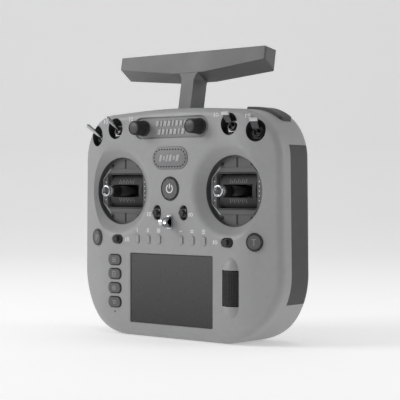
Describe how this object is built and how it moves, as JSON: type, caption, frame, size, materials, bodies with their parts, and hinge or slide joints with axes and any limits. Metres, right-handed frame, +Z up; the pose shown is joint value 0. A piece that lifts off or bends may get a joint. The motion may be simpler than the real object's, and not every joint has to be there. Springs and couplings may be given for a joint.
{
  "type": "radio control transmitter",
  "caption": "Handheld radio-control transmitter with two gimbal sticks, touch screen, toggle switches, knobs, keys, side grips and a folding T antenna.",
  "frame": {"origin": "middle of the flat bottom face, where the case stands", "axes": "+Z up along the height of the case, +X to the user's right seen from the front, the front face looks along -Y"},
  "size_m": [0.186, 0.0576, 0.2039],
  "materials": {
    "case_plastic": "fine textured moulded plastic",
    "grip_rubber": "soft textured rubber",
    "dark_plastic": "satin black moulded plastic",
    "key_plastic": "matte dark grey keys",
    "antenna_plastic": "matte dark grey moulded plastic",
    "screen_glass": "glossy dark cover lens",
    "display_metal": "stamped display frame",
    "board_laminate": "solder-masked board",
    "gimbal_plastic": "satin gimbal plate",
    "shutter_plastic": "satin curved shutter",
    "stick_plastic": "satin black shaft",
    "stick_metal": "anodised knurled collar",
    "bright_metal": "polished bright metal",
    "nut_metal": "dark plated steel",
    "knob_rubber": "soft black knurled knob",
    "badge_plastic": "matte insert with sound slots",
    "cell_wrap": "shrink-wrapped cell",
    "screw_steel": "black plated screw"
  },
  "bodies": {
    "case": {"front_shell": "case_plastic", "rear_shell": "case_plastic", "grip_left": "grip_rubber", "grip_right": "grip_rubber", "battery_cells": "cell_wrap", "module_connector": "dark_plastic", "rear_feet": "grip_rubber", "shell_screws": "screw_steel", "usb_socket": "nut_metal", "antenna_pin": "screw_steel", "screen_window": "screen_glass", "display_module": "display_metal", "main_board": "board_laminate", "speaker_badge": "badge_plastic", "speaker": "dark_plastic", "strap_hook": "bright_metal", "knob_pots": "nut_metal", "switch_bodies": "dark_plastic", "switch_nuts": "nut_metal", "left_gimbal_frame": "gimbal_plastic", "right_gimbal_frame": "gimbal_plastic"},
    "left_yoke": {"left_yoke": "shutter_plastic"},
    "right_yoke": {"right_yoke": "shutter_plastic"},
    "left_stick": {"left_stick": "stick_plastic", "left_stick_collar": "stick_metal", "left_stick_end": "bright_metal"},
    "right_stick": {"right_stick": "stick_plastic", "right_stick_collar": "stick_metal", "right_stick_end": "bright_metal"},
    "knob_left": {"knob_left": "knob_rubber"},
    "knob_right": {"knob_right": "knob_rubber"},
    "switch_lever_a": {"switch_lever_a": "bright_metal"},
    "switch_lever_b": {"switch_lever_b": "bright_metal"},
    "switch_lever_c": {"switch_lever_c": "bright_metal"},
    "switch_lever_d": {"switch_lever_d": "bright_metal"},
    "trim_left_pitch": {"trim_left_pitch": "key_plastic"},
    "trim_right_pitch": {"trim_right_pitch": "key_plastic"},
    "trim_left_roll": {"trim_left_roll": "key_plastic"},
    "trim_right_roll": {"trim_right_roll": "key_plastic"},
    "power_button": {"power_button": "key_plastic"},
    "round_key_left": {"round_key_left": "key_plastic"},
    "round_key_right": {"round_key_right": "key_plastic"},
    "shoulder_key_left": {"shoulder_key_left": "dark_plastic"},
    "shoulder_key_right": {"shoulder_key_right": "dark_plastic"},
    "roller_carrier": {"roller_carrier": "dark_plastic"},
    "roller": {"roller": "knob_rubber"},
    "antenna": {"antenna": "antenna_plastic"},
    "battery_door": {"battery_door": "case_plastic"},
    "module_cover": {"module_cover": "case_plastic"},
    "position_key_1": {"position_key_1": "case_plastic"},
    "position_key_2": {"position_key_2": "case_plastic"},
    "position_key_3": {"position_key_3": "case_plastic"},
    "position_key_4": {"position_key_4": "case_plastic"},
    "position_key_5": {"position_key_5": "case_plastic"},
    "position_key_6": {"position_key_6": "case_plastic"},
    "menu_key_1": {"menu_key_1": "key_plastic"},
    "menu_key_2": {"menu_key_2": "key_plastic"},
    "menu_key_3": {"menu_key_3": "key_plastic"},
    "menu_key_4": {"menu_key_4": "key_plastic"}
  },
  "joints": [
    {"name": "left_stick_tilt", "type": "hinge", "parent": "case", "child": "left_yoke", "pos_m": [-0.0527, 0, 0.1045], "axis": [1, 0, 0], "range_deg": [-24, 24]},
    {"name": "left_stick_swing", "type": "hinge", "parent": "left_yoke", "child": "left_stick", "pos_m": [-0.0527, 0, 0.1045], "axis": [0, 0, 1], "range_deg": [-24, 24], "stiffness_Nm_per_rad": 0.06},
    {"name": "right_stick_tilt", "type": "hinge", "parent": "case", "child": "right_yoke", "pos_m": [0.0527, 0, 0.1045], "axis": [1, 0, 0], "range_deg": [-24, 24], "stiffness_Nm_per_rad": 0.06},
    {"name": "right_stick_swing", "type": "hinge", "parent": "right_yoke", "child": "right_stick", "pos_m": [0.0527, 0, 0.1045], "axis": [0, 0, 1], "range_deg": [-24, 24], "stiffness_Nm_per_rad": 0.06},
    {"name": "switch_a_flip", "type": "hinge", "parent": "case", "child": "switch_lever_a", "pos_m": [-0.07305, -0.0205, 0.14328], "axis": [0.9613, -0.2756, 0], "range_deg": [0, 30]},
    {"name": "switch_b_flip", "type": "hinge", "parent": "case", "child": "switch_lever_b", "pos_m": [-0.0535, -0.02274, 0.14808], "axis": [1, 0, 0], "range_deg": [0, 30]},
    {"name": "switch_c_flip", "type": "hinge", "parent": "case", "child": "switch_lever_c", "pos_m": [0.0535, -0.02274, 0.14808], "axis": [1, 0, 0], "range_deg": [0, 30]},
    {"name": "switch_d_flip", "type": "hinge", "parent": "case", "child": "switch_lever_d", "pos_m": [0.07305, -0.0205, 0.14328], "axis": [0.9613, 0.2756, 0], "range_deg": [0, 30]},
    {"name": "antenna_fold", "type": "hinge", "parent": "case", "child": "antenna", "pos_m": [0, -0.0067, 0.156], "axis": [1, 0, 0], "range_deg": [-80, 0]},
    {"name": "left_knob_turn", "type": "hinge", "parent": "case", "child": "knob_left", "pos_m": [-0.0263, -0.028, 0.1493], "axis": [0, -1, 0], "range_deg": [-140, 140]},
    {"name": "right_knob_turn", "type": "hinge", "parent": "case", "child": "knob_right", "pos_m": [0.0263, -0.028, 0.1493], "axis": [0, -1, 0], "range_deg": [-140, 140]},
    {"name": "roller_press", "type": "slide", "parent": "case", "child": "roller_carrier", "axis": [0, 1, 0], "range_m": [0, 0.0008], "stiffness_N_per_m": 2500},
    {"name": "roller_turn", "type": "hinge", "parent": "roller_carrier", "child": "roller", "pos_m": [0.0547, -0.0222, 0.0385], "axis": [0, 0, 1], "continuous": true},
    {"name": "trim_left_pitch_rock", "type": "hinge", "parent": "case", "child": "trim_left_pitch", "pos_m": [-0.0124, -0.0238, 0.0892], "axis": [1, 0, 0], "range_deg": [-10, 10], "stiffness_Nm_per_rad": 0.02},
    {"name": "trim_right_pitch_rock", "type": "hinge", "parent": "case", "child": "trim_right_pitch", "pos_m": [0.0124, -0.0238, 0.0892], "axis": [1, 0, 0], "range_deg": [-10, 10], "stiffness_Nm_per_rad": 0.02},
    {"name": "trim_left_roll_rock", "type": "hinge", "parent": "case", "child": "trim_left_roll", "pos_m": [-0.0516, -0.0238, 0.0695], "axis": [0, 0, 1], "range_deg": [-10, 10], "stiffness_Nm_per_rad": 0.02},
    {"name": "trim_right_roll_rock", "type": "hinge", "parent": "case", "child": "trim_right_roll", "pos_m": [0.0516, -0.0238, 0.0695], "axis": [0, 0, 1], "range_deg": [-10, 10], "stiffness_Nm_per_rad": 0.02},
    {"name": "power_press", "type": "slide", "parent": "case", "child": "power_button", "axis": [0, 1, 0], "range_m": [0, 0.0006], "stiffness_N_per_m": 1500},
    {"name": "round_key_left_press", "type": "slide", "parent": "case", "child": "round_key_left", "axis": [0.2756, 0.9613, 0], "range_m": [0, 0.0008], "stiffness_N_per_m": 1200},
    {"name": "round_key_right_press", "type": "slide", "parent": "case", "child": "round_key_right", "axis": [-0.2756, 0.9613, 0], "range_m": [0, 0.0008], "stiffness_N_per_m": 1200},
    {"name": "shoulder_left_press", "type": "slide", "parent": "case", "child": "shoulder_key_left", "axis": [0.3014, 0, -0.9535], "range_m": [0, 0.0014], "stiffness_N_per_m": 900},
    {"name": "shoulder_right_press", "type": "slide", "parent": "case", "child": "shoulder_key_right", "axis": [-0.3014, 0, -0.9535], "range_m": [0, 0.0014], "stiffness_N_per_m": 900},
    {"name": "position_1_press", "type": "slide", "parent": "case", "child": "position_key_1", "axis": [0, 1, 0], "range_m": [0, 0.0006], "stiffness_N_per_m": 1200},
    {"name": "position_2_press", "type": "slide", "parent": "case", "child": "position_key_2", "axis": [0, 1, 0], "range_m": [0, 0.0006], "stiffness_N_per_m": 1200},
    {"name": "position_3_press", "type": "slide", "parent": "case", "child": "position_key_3", "axis": [0, 1, 0], "range_m": [0, 0.0006], "stiffness_N_per_m": 1200},
    {"name": "position_4_press", "type": "slide", "parent": "case", "child": "position_key_4", "axis": [0, 1, 0], "range_m": [0, 0.0006], "stiffness_N_per_m": 1200},
    {"name": "position_5_press", "type": "slide", "parent": "case", "child": "position_key_5", "axis": [0, 1, 0], "range_m": [0, 0.0006], "stiffness_N_per_m": 1200},
    {"name": "position_6_press", "type": "slide", "parent": "case", "child": "position_key_6", "axis": [0, 1, 0], "range_m": [0, 0.0006], "stiffness_N_per_m": 1200},
    {"name": "menu_1_press", "type": "slide", "parent": "case", "child": "menu_key_1", "axis": [0, 1, 0], "range_m": [0, 0.0008], "stiffness_N_per_m": 1200},
    {"name": "menu_2_press", "type": "slide", "parent": "case", "child": "menu_key_2", "axis": [0, 1, 0], "range_m": [0, 0.0008], "stiffness_N_per_m": 1200},
    {"name": "menu_3_press", "type": "slide", "parent": "case", "child": "menu_key_3", "axis": [0, 1, 0], "range_m": [0, 0.0008], "stiffness_N_per_m": 1200},
    {"name": "menu_4_press", "type": "slide", "parent": "case", "child": "menu_key_4", "axis": [0, 1, 0], "range_m": [0, 0.0008], "stiffness_N_per_m": 1200},
    {"name": "battery_door_release", "type": "slide", "parent": "case", "child": "battery_door", "axis": [0, 1, 0], "range_m": [0, 0.03]},
    {"name": "module_cover_release", "type": "slide", "parent": "case", "child": "module_cover", "axis": [0, 1, 0], "range_m": [0, 0.02]}
  ]
}
